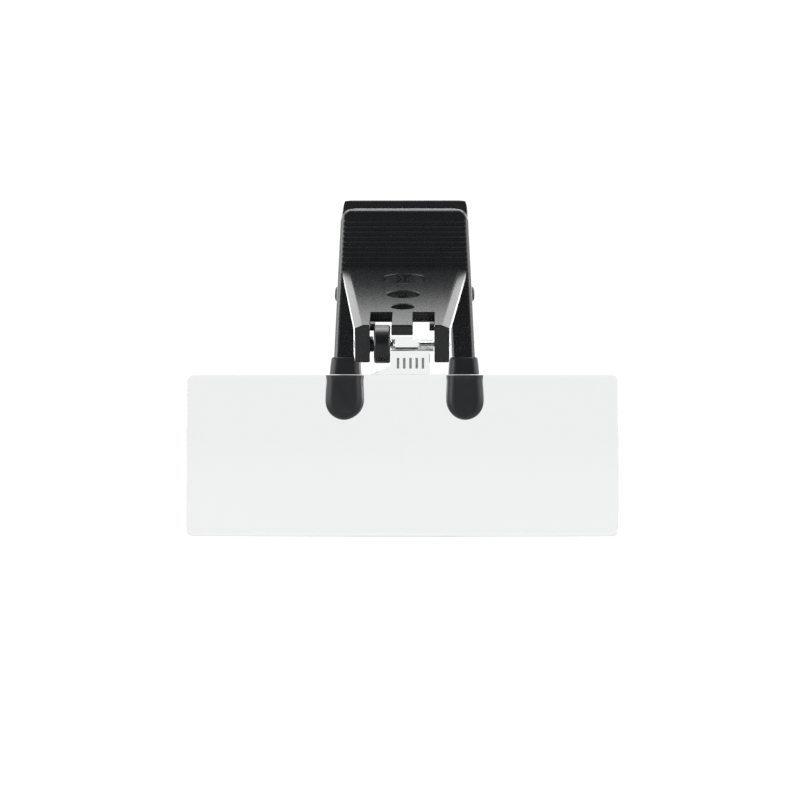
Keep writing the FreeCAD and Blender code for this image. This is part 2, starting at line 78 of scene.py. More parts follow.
def linearColour(hexText):
    channels = [int(hexText[i:i + 2], 16) / 255 for i in (1, 3, 5)]
    linear = [c / 12.92 if c <= 0.04045 else ((c + 0.055) / 1.055) ** 2.4 for c in channels]
    return (*linear, 1.0)


def addNode(tree, kind, links=None, **settings):
    node = tree.nodes.new(kind)
    for name, setting in settings.items():
        setattr(node, name, setting)
    for socket, source in (links or {}).items():
        if isinstance(source, bpy.types.NodeSocket):
            tree.links.new(source, node.inputs[socket])
        else:
            node.inputs[socket].default_value = source
    return node


def newObject(name, mesh):
    piece = bpy.data.objects.new(name, mesh)
    bpy.context.scene.collection.objects.link(piece)
    return piece


def fromBmesh(name, bm, turn=None):
    # the mesh is drawn in millimetres, then put in its place and brought to metres
    bmesh.ops.recalc_face_normals(bm, faces=bm.faces)
    bm.transform(Matrix.Scale(mm, 4) @ (turn or Matrix.Identity(4)))
    mesh = bpy.data.meshes.new(name)
    bm.to_mesh(mesh)
    bm.free()
    return newObject(name, mesh)


def evaluated(piece):
    bpy.context.view_layer.update()
    graph = bpy.context.evaluated_depsgraph_get()
    return bpy.data.meshes.new_from_object(piece.evaluated_get(graph))


def settle(piece):
    # the evaluated result becomes the piece's plain mesh, and its modifiers go
    mesh = evaluated(piece)
    piece.modifiers.clear()
    piece.data = mesh
    return piece


def carve(piece, operation, *tools):
    for tool in tools:
        cut = piece.modifiers.new(operation.lower(), "BOOLEAN")
        cut.operation = operation
        cut.solver = "EXACT"
        cut.object = tool
        settle(piece)
        bpy.data.objects.remove(tool)
    return piece


def smoothShade(piece, sharpAngle=38, weighted=True):
    piece.data.shade_smooth()
    piece.data.set_sharp_from_angle(angle=math.radians(sharpAngle))
    if weighted:
        normals = piece.modifiers.new("weighted normals", "WEIGHTED_NORMAL")
        normals.keep_sharp = True
        settle(piece)
    return piece


def handOver(piece, material, body, slot, *nodes):
    piece.data.materials.clear()
    piece.data.materials.append(material)
    if nodes:
        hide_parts(*nodes)
    if body:  # the springs blend between two bodies, so they name none here
        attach(piece, body)
    return piece


def roundedOutline(corners, steps=7):
    # corners are (x, y, radius, upper, lower): radius rounds the corner in the outline's plane, and
    # upper and lower round the two long edges of the side that leaves it
    points = []
    count = len(corners)
    for index, (x, y, radius, upper, lower) in enumerate(corners):
        here = Vector((x, y))
        before = Vector(corners[index - 1][:2]) - here
        after = Vector(corners[(index + 1) % count][:2]) - here
        if radius == 0:
            points.append((here, upper, lower))
            continue
        before.normalize()
        after.normalize()
        half = before.angle(after) / 2
        middle = here + (before + after).normalized() * radius / math.sin(half)
        first = here + before * radius / math.tan(half) - middle
        last = here + after * radius / math.tan(half) - middle
        sweep = first.angle_signed(last)
        for step in range(steps + 1):
            arm = first.copy()
            arm.rotate(Matrix.Rotation(-sweep * step / steps, 2))
            points.append((middle + arm, upper, lower))
    return points


def mirrored(half):
    # the right half's corners, then the same at the left, whose sides run the other way
    sides = [corner[3:] for corner in half]
    left = [(-x, y, radius) for x, y, radius, *_ in reversed(half)]
    leftSides = sides[-2::-1] + [sides[-1]]
    return half + [(*corner, *side) for corner, side in zip(left, leftSides)]


def prism(name, corners, low, high, turn=None, segments=5, fullness=0.5, softCorners=False):
    # a closed prism on an outline, from low to high along its own third axis, with rounded edges; with
    # softCorners the bevel rounds the outline's corners too, as short arc edges would hold it back
    radii = [corner[2] if softCorners else 0 for corner in corners]
    outline = roundedOutline([(x, y, 0 if softCorners else radius, upper, lower)
        for x, y, radius, upper, lower in corners])
    bm = bmesh.new()
    rings = [[bm.verts.new((p.x, p.y, level)) for p, _, _ in outline] for level in (low, high)]
    bm.faces.new(rings[0])
    bm.faces.new(rings[1])
    weight = bm.edges.layers.float.new("bevel_weight_edge")
    widest = max(radii + [max(upper, lower) for _, upper, lower in outline])
    for index, radius in enumerate(radii):
        if radius > 0:
            bm.edges.new((rings[0][index], rings[1][index]))[weight] = radius / widest
    for index, (_, upper, lower) in enumerate(outline):
        following = (index + 1) % len(outline)
        bm.faces.new((rings[0][index], rings[0][following], rings[1][following], rings[1][index]))
        if widest > 0:
            bm.edges.get((rings[0][index], rings[0][following]))[weight] = lower / widest
            bm.edges.get((rings[1][index], rings[1][following]))[weight] = upper / widest
    piece = fromBmesh(name, bm, turn)
    if widest > 0:
        bevel = piece.modifiers.new("rounded edges", "BEVEL")
        bevel.limit_method = "WEIGHT"
        bevel.width = widest * mm
        bevel.segments = segments
        bevel.profile = fullness
        settle(piece)
    return piece


def turned(name, profile, centre, segments=64):
    # a solid of revolution about X through centre, from (x, radius) pairs that start and end on it
    bm = bmesh.new()
    rings = []
    for x, radius in profile:
        if radius == 0:
            rings.append([bm.verts.new((x, 0, 0))])
            continue
        turns = [2 * math.pi * step / segments for step in range(segments)]
        rings.append([bm.verts.new((x, radius * math.cos(a), radius * math.sin(a))) for a in turns])
    for first, second in zip(rings, rings[1:]):
        for step in range(segments):
            after = (step + 1) % segments
            corners = [first[step % len(first)], first[after % len(first)],
                second[after % len(second)], second[step % len(second)]]
            bm.faces.new(list(dict.fromkeys(corners)))
    return fromBmesh(name, bm, Matrix.Translation(centre))


def quarterRound(x, radius, round, towards, steps=6):
    # (x, radius) pairs round an outer rim; towards is the way its flat face looks, -1 or 1
    pairs = []
    for step in range(steps + 1):
        turn = math.pi / 2 * step / steps
        pairs.append((x - towards * round * (1 - math.sin(turn)), radius - round * (1 - math.cos(turn))))
    return pairs


def newMaterial(name):
    material = bpy.data.materials.new(name)
    material.use_nodes = True
    tree = material.node_tree
    tree.nodes.clear()
    place = addNode(tree, "ShaderNodeTexCoord").outputs["Object"]
    return material, tree, place


def output(tree, shader):
    addNode(tree, "ShaderNodeOutputMaterial", {"Surface": shader.outputs[0]})


def perFeature(size):
    # a texture's scale for features of a size in millimetres
    return 1 / (size * mm)


absLook = {"dark": "#0f1011", "pale": "#191a1c", "cloud": 4.0, "grain": 0.34, "grainHeight": 0.02,
    "grainBump": 0.5, "roughLow": 0.2, "roughHigh": 0.33}


def mouldedAbs():
    # black ABS from a spark-eroded mould: a fine matt grain that still catches light on its edges
    material, tree, place = newMaterial("moulded ABS")
    cloud = addNode(tree, "ShaderNodeTexNoise", {"Vector": place, "Scale": perFeature(absLook["cloud"]),
        "Detail": 3.0}).outputs["Fac"]
    # the real grain is near 0.1 mm, drawn coarser so that it shows
    grain = addNode(tree, "ShaderNodeTexNoise", {"Vector": place, "Scale": perFeature(absLook["grain"]),
        "Detail": 2.0, "Roughness": 0.6}).outputs["Fac"]
    colour = addNode(tree, "ShaderNodeMix", {0: cloud, 6: linearColour(absLook["dark"]),
        7: linearColour(absLook["pale"])}, data_type="RGBA")
    rough = addNode(tree, "ShaderNodeMapRange", {"Value": grain, "To Min": absLook["roughLow"],
        "To Max": absLook["roughHigh"]})
    bump = addNode(tree, "ShaderNodeBump", {"Height": grain, "Strength": absLook["grainBump"],
        "Distance": absLook["grainHeight"] * mm})
    output(tree, addNode(tree, "ShaderNodeBsdfPrincipled", {
        "Base Color": colour.outputs[2], "Roughness": rough.outputs[0], "IOR": 1.54,
        "Normal": bump.outputs[0]}))
    return material


siliconeLook = {"dark": "#131416", "pale": "#1e1f22", "cloud": 2.2, "skin": 0.45, "skinHeight": 0.01,
    "skinBump": 0.25, "roughLow": 0.40, "roughHigh": 0.55}


def siliconeRubber():
    # black silicone, compression moulded: a soft even sheen with slightly cloudy patches
    material, tree, place = newMaterial("silicone rubber")
    cloud = addNode(tree, "ShaderNodeTexNoise", {"Vector": place, "Scale": perFeature(siliconeLook["cloud"]),
        "Detail": 4.0}).outputs["Fac"]
    skin = addNode(tree, "ShaderNodeTexNoise", {"Vector": place, "Scale": perFeature(siliconeLook["skin"]),
        "Detail": 2.0}).outputs["Fac"]
    colour = addNode(tree, "ShaderNodeMix", {0: cloud, 6: linearColour(siliconeLook["dark"]),
        7: linearColour(siliconeLook["pale"])}, data_type="RGBA")
    rough = addNode(tree, "ShaderNodeMapRange", {"Value": cloud, "To Min": siliconeLook["roughLow"],
        "To Max": siliconeLook["roughHigh"]})
    bump = addNode(tree, "ShaderNodeBump", {"Height": skin, "Strength": siliconeLook["skinBump"],
        "Distance": siliconeLook["skinHeight"] * mm})
    output(tree, addNode(tree, "ShaderNodeBsdfPrincipled", {
        "Base Color": colour.outputs[2], "Roughness": rough.outputs[0], "IOR": 1.41,
        "Sheen Weight": 0.05, "Sheen Roughness": 0.4, "Normal": bump.outputs[0]}))
    return material


def metal(name, dark, pale, roughLow, roughHigh, lineSize, stretch):
    # turned or drawn metal: colour and gloss vary in fine lines, squeezed along the stretch axis
    material, tree, place = newMaterial(name)
    lines = addNode(tree, "ShaderNodeMapping", {"Vector": place, "Scale": stretch})
    noise = addNode(tree, "ShaderNodeTexNoise", {"Vector": lines.outputs[0], "Detail": 3.0,
        "Scale": perFeature(lineSize)}).outputs["Fac"]
    colour = addNode(tree, "ShaderNodeMix", {0: noise, 6: linearColour(dark), 7: linearColour(pale)},
        data_type="RGBA")
    rough = addNode(tree, "ShaderNodeMapRange", {"Value": noise, "To Min": roughLow, "To Max": roughHigh})
    bump = addNode(tree, "ShaderNodeBump", {"Height": noise, "Strength": 0.2, "Distance": 0.004 * mm})
    output(tree, addNode(tree, "ShaderNodeBsdfPrincipled", {
        "Base Color": colour.outputs[2], "Metallic": 1.0, "Roughness": rough.outputs[0],
        "Normal": bump.outputs[0]}))
    return material


# the two frost colours are painted shade: a grey that stands in for the dark that refraction gives the raised
# bars
acrylicLook = {"tint": "#f0f1f1", "waveSize": 9.0, "waveHeight": 0.004, "rough": 0.0,
    "frost": 0.2, "barShadeDark": "#7d8082", "barShadePale": "#b4b7b9"}


def castAcrylic():
    # clear PMMA, polished in the mould: almost no tint, and a faint swell that bends reflections
    material, tree, place = newMaterial("cast acrylic")
    wave = addNode(tree, "ShaderNodeTexNoise", {"Vector": place, "Detail": 1.0,
        "Scale": perFeature(acrylicLook["waveSize"])})
    bump = addNode(tree, "ShaderNodeBump", {"Height": wave.outputs["Fac"], "Strength": 0.2,
        "Distance": acrylicLook["waveHeight"] * mm})
    output(tree, addNode(tree, "ShaderNodeBsdfPrincipled", {
        "Base Color": linearColour(acrylicLook["tint"]), "Roughness": acrylicLook["rough"], "IOR": 1.49,
        "Transmission Weight": 1.0, "Normal": bump.outputs[0]}))
    return material


def frostedAcrylicPaintedShade():
    # the same PMMA where the mould was blasted: raised bars that read as grey. The roughness and bump are the
    # real frosting, but the grey tint is painted shade, standing in for the dark that refraction gives the
    # raised strokes
    material, tree, place = newMaterial("frosted acrylic")
    frost = addNode(tree, "ShaderNodeTexNoise", {"Vector": place, "Detail": 3.0,
        "Scale": perFeature(acrylicLook["frost"])}).outputs["Fac"]
    # painted shade: this grey mix stands in for the dark that refraction gives the raised bars
    colour = addNode(tree, "ShaderNodeMix", {0: frost, 6: linearColour(acrylicLook["barShadeDark"]),
        7: linearColour(acrylicLook["barShadePale"])}, data_type="RGBA")
    bump = addNode(tree, "ShaderNodeBump", {"Height": frost, "Strength": 0.4, "Distance": 0.02 * mm})
    output(tree, addNode(tree, "ShaderNodeBsdfPrincipled", {
        "Base Color": colour.outputs[2], "Roughness": 0.45, "IOR": 1.49, "Transmission Weight": 0.55,
        "Normal": bump.outputs[0]}))
    return material


blackAbs = mouldedAbs()
rubber = siliconeRubber()
blackSteel = metal("blackened steel", "#2a2b2e", "#45474c", 0.30, 0.46, 0.5, (6, 1, 1))
steel = metal("stainless steel", "#9a9c9e", "#c6c8c9", 0.16, 0.30, 0.4, (6, 1, 1))
wireSteel = metal("drawn spring wire", "#3c3d3f", "#66676a", 0.22, 0.38, 0.3, (1, 1, 1))
acrylic = castAcrylic()
frostedPaintedShade = frostedAcrylicPaintedShade()
print("materials made")


def newTree(name, sizes):
    tree = bpy.data.node_groups.new(name, "GeometryNodeTree")
    tree.interface.new_socket("Geometry", in_out="INPUT", socket_type="NodeSocketGeometry")
    tree.interface.new_socket("Geometry", in_out="OUTPUT", socket_type="NodeSocketGeometry")
    for label, size in sizes.items():
        kind = "NodeSocketInt" if isinstance(size, int) else "NodeSocketFloat"
        tree.interface.new_socket(label, in_out="INPUT", socket_type=kind).default_value = size
    return tree, addNode(tree, "NodeGroupInput").outputs


def closeTree(tree, geometry, material):
    # every tree ends the same way: real geometry with its material on
    real = addNode(tree, "GeometryNodeRealizeInstances", {0: geometry})
    coated = addNode(tree, "GeometryNodeSetMaterial", {0: real.outputs[0], "Material": material})
    addNode(tree, "NodeGroupOutput", {0: coated.outputs[0]})


def grow(name, tree, sizes, start=None):
    piece = newObject(name, start or bpy.data.meshes.new(name))
    grower = piece.modifiers.new(tree.name, "NODES")
    grower.node_group = tree
    for item in tree.interface.items_tree:
        if item.in_out == "INPUT" and item.name in sizes:
            grower[item.identifier] = sizes[item.name]
    made = newObject(name, evaluated(piece))
    bpy.data.objects.remove(piece)
    made.name = name
    return made


def gripRibsTree():
    # a ladder of half-sunk round ribs across a tab, from a first height up by an even pitch
    tree, size = newTree("gripRibs", {"Count": 9, "Pitch": 0.001, "Half Length": 0.01, "Radius": 0.0003,
        "First Height": 0.02, "Squash": 0.5, "Taper": 0.02})
    step = addNode(tree, "ShaderNodeCombineXYZ", {"Z": size["Pitch"]})
    first = addNode(tree, "ShaderNodeCombineXYZ", {"Z": size["First Height"]})
    ladder = addNode(tree, "GeometryNodeMeshLine", {"Count": size["Count"],
        "Start Location": first.outputs[0], "Offset": step.outputs[0]})
    flat = addNode(tree, "ShaderNodeMath", {0: size["Half Length"], 1: -1.0}, operation="MULTIPLY")
    left = addNode(tree, "ShaderNodeCombineXYZ", {"X": flat.outputs[0]})
    right = addNode(tree, "ShaderNodeCombineXYZ", {"X": size["Half Length"]})
    line = addNode(tree, "GeometryNodeCurvePrimitiveLine", {
        "Start": left.outputs[0], "End": right.outputs[0]})
    fine = addNode(tree, "GeometryNodeResampleCurve", {"Curve": line.outputs[0], "Count": 61})
    along = addNode(tree, "GeometryNodeSplineParameter").outputs["Factor"]
    # the ends taper, so that each rib dies into the face
    inwards = addNode(tree, "ShaderNodeMath", {0: along, 1: 0.5}, operation="PINGPONG")
    ends = addNode(tree, "ShaderNodeMapRange", {"Value": inwards.outputs[0], "From Max": size["Taper"],
        "To Min": 0.4})
    ring = addNode(tree, "GeometryNodeCurvePrimitiveCircle", {"Resolution": 12, "Radius": size["Radius"]})
    bar = addNode(tree, "GeometryNodeCurveToMesh", {"Curve": fine.outputs[0], "Fill Caps": True,
        "Profile Curve": ring.outputs[0], "Scale": ends.outputs[0]})
    low = addNode(tree, "ShaderNodeCombineXYZ", {"X": 1.0, "Y": size["Squash"], "Z": 1.0})
    ribs = addNode(tree, "GeometryNodeInstanceOnPoints", {"Points": ladder.outputs[0],
        "Instance": bar.outputs[0], "Scale": low.outputs[0]})
    closeTree(tree, ribs.outputs[0], blackAbs)
    return tree


def drawnWireTree():
    # round wire along the curve that it is given
    tree, size = newTree("drawnWire", {"Wire Radius": 0.0003, "Sides": 14})
    ring = addNode(tree, "GeometryNodeCurvePrimitiveCircle", {"Resolution": size["Sides"],
        "Radius": size["Wire Radius"]})
    wire = addNode(tree, "GeometryNodeCurveToMesh", {"Curve": size["Geometry"], "Fill Caps": True,
        "Profile Curve": ring.outputs[0]})
    closeTree(tree, wire.outputs[0], wireSteel)
    return tree


def twinLensTree():
    # a plate with a flat back and two spherical zones in front, which meet in a seam at its middle
    tree, size = newTree("twinLens", {"Half Width": 0.0364, "Height": 0.0272, "Thickness": 0.0033,
        "Zone Centre": 0.009, "Zone Radius": 0.245, "Columns": 61, "Rows": 25})
    width = addNode(tree, "ShaderNodeMath", {0: size["Half Width"], 1: 2.0}, operation="MULTIPLY")
    block = addNode(tree, "ShaderNodeCombineXYZ", {"X": width.outputs[0], "Y": size["Thickness"],
        "Z": size["Height"]})
    plate = addNode(tree, "GeometryNodeMeshCube", {"Size": block.outputs[0], "Vertices X": size["Columns"],
        "Vertices Y": 2, "Vertices Z": size["Rows"]})
    spot = addNode(tree, "ShaderNodeSeparateXYZ", {0: addNode(tree, "GeometryNodeInputPosition").outputs[0]})
    across = addNode(tree, "ShaderNodeMath", {0: spot.outputs["X"]}, operation="ABSOLUTE")
    offset = addNode(tree, "ShaderNodeMath", {0: across.outputs[0], 1: size["Zone Centre"]},
        operation="SUBTRACT")
    arm = addNode(tree, "ShaderNodeCombineXYZ", {"X": offset.outputs[0], "Z": spot.outputs["Z"]})
    reach = addNode(tree, "ShaderNodeVectorMath", {0: arm.outputs[0], 1: arm.outputs[0]},
        operation="DOT_PRODUCT").outputs["Value"]
    square = addNode(tree, "ShaderNodeMath", {0: size["Zone Radius"], 1: 2.0}, operation="POWER")
    rest = addNode(tree, "ShaderNodeMath", {0: square.outputs[0], 1: reach}, operation="SUBTRACT")
    depth = addNode(tree, "ShaderNodeMath", {0: rest.outputs[0]}, operation="SQRT")
    sag = addNode(tree, "ShaderNodeMath", {0: size["Zone Radius"], 1: depth.outputs[0]}, operation="SUBTRACT")
    front = addNode(tree, "ShaderNodeMath", {0: sag.outputs[0], 1: size["Thickness"]}, operation="SUBTRACT")
    isBack = addNode(tree, "ShaderNodeMath", {0: spot.outputs["Y"], 1: 0.0}, operation="GREATER_THAN")
    level = addNode(tree, "ShaderNodeMix", {0: isBack.outputs[0], 2: front.outputs[0], 3: 0.0})
    shaped = addNode(tree, "ShaderNodeCombineXYZ", {"X": spot.outputs["X"], "Y": level.outputs[0],
        "Z": spot.outputs["Z"]})
    curved = addNode(tree, "GeometryNodeSetPosition", {"Geometry": plate.outputs[0],
        "Position": shaped.outputs[0]})
    closeTree(tree, curved.outputs[0], acrylic)
    return tree


def raisedBarsTree():
    # an even row of small upright bars, the plain stand-in for a size mark
    tree, size = newTree("raisedBars", {"Count": 5, "Pitch": 0.001, "Bar Width": 0.0003, "Bar Height": 0.001,
        "Bar Depth": 0.0003})
    step = addNode(tree, "ShaderNodeCombineXYZ", {"X": size["Pitch"]})
    row = addNode(tree, "GeometryNodeMeshLine", {"Count": size["Count"], "Offset": step.outputs[0]})
    block = addNode(tree, "ShaderNodeCombineXYZ", {"X": size["Bar Width"], "Y": size["Bar Depth"],
        "Z": size["Bar Height"]})
    bar = addNode(tree, "GeometryNodeMeshCube", {"Size": block.outputs[0]})
    bars = addNode(tree, "GeometryNodeInstanceOnPoints", {"Points": row.outputs[0],
        "Instance": bar.outputs[0]})
    closeTree(tree, bars.outputs[0], frostedPaintedShade)
    return tree


ribsTree = gripRibsTree()
wireTree = drawnWireTree()
lensTree = twinLensTree()
barsTree = raisedBarsTree()
print("node trees made")

plate = {"back": 2.6, "thick": 2.0, "legHalf": 13.2, "legWide": 4.3, "legTip": -2.0, "legTop": 8.0,
    "windowHalf": 8.15, "windowTop": 22.6, "windowRound": 0.9, "tabTop": 35.8, "tabHalf": 11.85,
    "corner": 2.6, "frontRound": 1.1, "windowEdge": 0.5, "backRound": 0.35}
slab = {"root": 24.9, "tilt": 16.2, "long": 44.2, "thick": 1.8, "halfBack": 11.6, "halfFront": 7.95,
    "intoTab": 1.2, "upperRound": 1.45, "lowerRound": 0.25, "fullness": 0.26, "fineRound": 0.1,
    "notchHalf": 5.4, "notchDeep": 9.0, "tongueHalf": 1.8}
slabHoles = {"at": (9.7, 22.0, 31.2), "radius": (4.0, 2.95, 2.1), "chamfer": 0.14, "past": 1}
ears = {"tall": 6.6, "deep": 4.2, "halfBack": 8.3, "top": 1.5, "inset": 0.02, "edge": 0.35}
earBores = {"stem": 0.75, "seat": 1.5, "seatDeep": 1.2, "pin": 0.47, "past": 1}
nibs = {"inner": 4.6, "front": 5.0, "long": 1.2, "down": 1.1, "tall": 1.2, "edge": 0.08}
lugs = {"round": 2.3, "thick": 2.0, "frontInner": 10.35, "rearInner": 8.2, "edge": 0.2, "bore": 0.92,
    "past": 1, "short": 0.001}

upright = Matrix.Rotation(math.radians(90), 4, "X")  # an outline's y becomes Z, and its depth -Y
sideways = Matrix(((0, 0, 1, 0), (1, 0, 0, 0), (0, 1, 0, 0), (0, 0, 0, 1)))  # an outline in YZ, depth X
slabPlace = Matrix.Translation((0, -plate["back"] - plate["thick"], slab["root"]))
slabPlace = slabPlace @ Matrix.Rotation(math.radians(slab["tilt"]), 4, "X")


def leverPlate(name, top, topHalf):
    front, window, back = plate["frontRound"], plate["windowEdge"], plate["backRound"]
    legIn = plate["legHalf"] - plate["legWide"]
    return prism(name, mirrored([
        (plate["windowHalf"], plate["windowTop"], plate["windowRound"], window, back),
        (legIn, plate["legTop"], 0, window, back),
        (legIn, plate["legTip"], 0, window, back),
        (plate["legHalf"], plate["legTip"], 0, front, back),
        (plate["legHalf"], plate["legTop"], 0, front, back),
        (topHalf, top, plate["corner"], front, back),
    ]), plate["back"], plate["back"] + plate["thick"], upright, segments=6, softCorners=True)


def lever(name, body, shape, inner, side):
    # joins the two lugs to a lever's plate, and bores them for the pivot pin
    reach = side * (plate["back"] + plate["thick"] / 2)
    high, low = pivotAxis.z + lugs["round"], pivotAxis.z - lugs["round"]
    corners = [(reach, low), (reach, high), (-side * lugs["round"], high), (-side * lugs["round"], low)]
    rounds = (0, 0, *[lugs["round"] - lugs["short"]] * 2)  # a hair short, so that the two arcs don't meet
    edge = lugs["edge"]
    outline = [(y, z, round, edge, edge) for (y, z), round in zip(corners, rounds)]
    for hand in (-1, 1):
        near = min(hand * inner, hand * (inner + lugs["thick"]))
        carve(shape, "UNION", prism("lug", outline, near, near + lugs["thick"], sideways))
    reachOut = plate["legHalf"] + lugs["past"]
    bore = [(-reachOut, 0), (-reachOut, lugs["bore"]), (reachOut, lugs["bore"]), (reachOut, 0)]
    carve(shape, "DIFFERENCE", turned("bore", bore, pivotAxis))
    return handOver(smoothShade(shape), blackAbs, body, "moulded_black", name)


def slabBlock():
    edge, fine, tip = slab["upperRound"], slab["fineRound"], -slab["long"]
    block = prism("slab", mirrored([
        (slab["tongueHalf"], tip, 0, fine, fine),
        (slab["tongueHalf"], slab["notchDeep"] + tip, 0, fine, fine),
        (slab["notchHalf"], slab["notchDeep"] + tip, 0, fine, fine),
        (slab["notchHalf"], tip, 0, fine, fine),
        (slab["halfFront"], tip, 0, edge, slab["lowerRound"]),
        (slab["halfBack"], 0, 0, edge, slab["lowerRound"]),
        (slab["halfBack"], slab["intoTab"], 0, fine, fine),
    ]), -slab["thick"], 0, slabPlace, segments=4, fullness=slab["fullness"])
    for at, radius in zip(slabHoles["at"], slabHoles["radius"]):
        flare = slabHoles["chamfer"]
        depth = slab["thick"] * 2
        past = slabHoles["past"]
        profile = [(-depth, 0), (-depth, radius), (-flare, radius), (past, radius + flare + past), (past, 0)]
        cutter = turned("hole", profile, Vector())
        cutter.data.transform(holePlace(at))
        carve(block, "DIFFERENCE", cutter)
    return block


def holePlace(at):
    # turns a profile about X to one about the slab's own upright axis, at a distance from the tab
    metres = slabPlace.copy()
    metres.translation *= mm
    return metres @ Matrix.Translation((0, -at * mm, 0)) @ Matrix.Rotation(math.radians(-90), 4, "Y")


def frontLever():
    shape = leverPlate("front_lever_shell", plate["tabTop"], plate["tabHalf"])
    carve(shape, "UNION", slabBlock())
    edge = ears["edge"]
    for hand in (-1, 1):
        tip, back = -slab["long"] + ears["inset"], ears["deep"] - slab["long"]
        notch = slab["notchHalf"] + ears["inset"]
        outline = [(hand * x, y, 0, 0, edge) for x, y in (
            (notch, tip), (slab["halfFront"] - ears["inset"], tip), (ears["halfBack"] - ears["inset"], back),
            (notch, back))]
        carve(shape, "UNION", prism("ear", outline, -ears["tall"], -ears["top"], slabPlace))
        near, far = nibs["front"] - slab["long"], nibs["front"] + nibs["long"] - slab["long"]
        inner, outer = hand * nibs["inner"], hand * (slab["notchHalf"] + nibs["long"] / 2)
        fine = nibs["edge"]
        nib = [(x, y, 0, fine, fine) for x, y in ((inner, near), (outer, near), (outer, far), (inner, far))]
        carve(shape, "UNION", prism("nib", nib, -nibs["down"] - nibs["tall"], -nibs["down"], slabPlace))
    stem, seat, fixed = earBores["stem"], earBores["seat"], earBores["pin"]
    inner, outer = slab["notchHalf"], slab["notchHalf"] + ears["deep"]
    floor, past = -inner - earBores["seatDeep"], earBores["past"]
    bores = [
        [(-outer, 0), (-outer, stem), (floor, stem), (floor, seat), (past - inner, seat),
        (past - inner, 0)], [(inner - past, 0), (inner - past, fixed), (outer, fixed), (outer, 0)],
    ]
    for bore in bores:
        carve(shape, "DIFFERENCE", turned("bore", bore, hingeAxis, segments=32))
    return lever("front_lever", "root", shape, lugs["frontInner"], -1)


rear = {"bend": 19.5, "lean": 20.0, "bendHalf": 1.5, "top": 38.7, "half": 11.95, "cuts": 8, "short": 0.08}


def bendBack(point):
    # carries a point of the flat plate round the bend at the tab's foot, keeping the front face's length
    lean = math.radians(rear["lean"])
    start = rear["bend"] - rear["bendHalf"]
    curl = lean / (2 * rear["bendHalf"])
    along = point.z / mm - start
    depth = point.y / mm - plate["back"]
    if along <= 0:
        return point
    turn = min(along * curl, lean)
    past = max(0, along - 2 * rear["bendHalf"])
    y = plate["back"] + (1 - math.cos(turn)) / curl + past * math.sin(turn) + depth * math.cos(turn)
    z = start + math.sin(turn) / curl + past * math.cos(turn) - depth * math.sin(turn)
    return Vector((point.x, y * mm, z * mm))


def rearTop():
    # height of the rear tab's top before it is bent back
    rise = (rear["top"] - rear["bend"]) / math.cos(math.radians(rear["lean"]))
    return rear["bend"] + rise - rear["short"]


def rearLever():
    shape = leverPlate("rear_lever_shell", rearTop(), rear["half"])
    bm = bmesh.new()
    bm.from_mesh(shape.data)
    bm.transform(Matrix.Rotation(math.radians(180), 4, "Z"))
    for cut in range(rear["cuts"] + 1):
        height = rear["bend"] + rear["bendHalf"] * (2 * cut / rear["cuts"] - 1)
        bmesh.ops.bisect_plane(bm, geom=bm.verts[:] + bm.edges[:] + bm.faces[:], dist=hair,
            plane_co=(0, 0, height * mm), plane_no=(0, 0, 1))
    for vertex in bm.verts:
        vertex.co = bendBack(vertex.co)
    bm.to_mesh(shape.data)
    bm.free()
    return lever("rear_lever", "rear_jaw", shape, lugs["rearInner"], 1)


ribs = {"pitch": 0.95, "radius": 0.3, "squash": 0.16, "frontFirst": 23.9, "frontCount": 11, "rearFirst": 24.2,
    "rearCount": 14, "sink": 0.015, "short": 0.04, "taper": 0.01}


def wrapRib(point, top, topHalf):
    # carries a point of a straight rib over the tab's rounded side edge; the rib is drawn about Y 0
    round = plate["frontRound"]
    x, y, z = point / mm
    taper = (plate["legHalf"] - topHalf) / (top - plate["legTop"])
    corner = topHalf + (top - z) * taper - round
    past = abs(x) * (corner + round * math.pi / 2 * (1 - ribs["short"])) / plate["legHalf"] - corner
    turn = max(0, past) / round
    out = corner + min(0, past) + (round - y) * math.sin(turn)
    return Vector((math.copysign(out, x), y * math.cos(turn) + round * (1 - math.cos(turn)), z)) * mm


def gripRibs(name, body, first, count, top, topHalf):
    piece = grow(name, ribsTree, {
        "Count": count, "Pitch": ribs["pitch"] * mm, "Radius": ribs["radius"] * mm,
        "Half Length": plate["legHalf"] * mm, "First Height": first * mm, "Squash": ribs["squash"],
        "Taper": ribs["taper"]})
    face = -plate["back"] - plate["thick"] + ribs["sink"]
    for vertex in piece.data.vertices:
        vertex.co = wrapRib(vertex.co, top, topHalf) + Vector((0, face * mm, 0))
    if body == "rear_jaw":
        piece.data.transform(Matrix.Rotation(math.radians(180), 4, "Z"))
        for vertex in piece.data.vertices:
            vertex.co = bendBack(vertex.co)
    handOver(smoothShade(piece, 60, weighted=False), blackAbs, body, "moulded_black")


boots = {"perCorner": 11, "up": 34, "corner": 1.45, "jawCorner": 0.5, "endHigh": 3.5, "endBlunt": 2.15,
    "tipRound": 1.6, "mouthHalf": 2.62, "mouthDeep": 0.9, "shoulder": 8.5, "lip": 0.3, "legWide": 4.34,
    "legThick": 2.04, "mouth": 1.2, "mouthCorner": 0.25, "mouthFlare": 0.12,
    "flareTop": 0.05, "flareDeep": 0.2, "crowding": 1.35, "leastTip": 0.004, "neck": 1.3,
    "roundOfWidth": 0.98, "roundOfDepth": 0.49}


def sleeveRing(bm, centre, away, z, wide, near, far, farRound, nearRound):
    # one level of a boot: a rectangle with its own rounding on the jaw side and on the outer side
    points = []
    for signX, signY, start in ((1, 1, 0), (-1, 1, 90), (-1, -1, 180), (1, -1, 270)):
        round = min(farRound if signY > 0 else nearRound, wide * boots["roundOfWidth"],
            (far - near) * boots["roundOfDepth"])
        cornerX = signX * (wide - round)
        cornerY = far - round if signY > 0 else near + round
        for step in range(boots["perCorner"]):
            turn = math.radians(start + 90 * step / (boots["perCorner"] - 1))
            points.append(bm.verts.new((centre + cornerX + round * math.cos(turn),
                away * (cornerY + round * math.sin(turn)), z)))
    return points


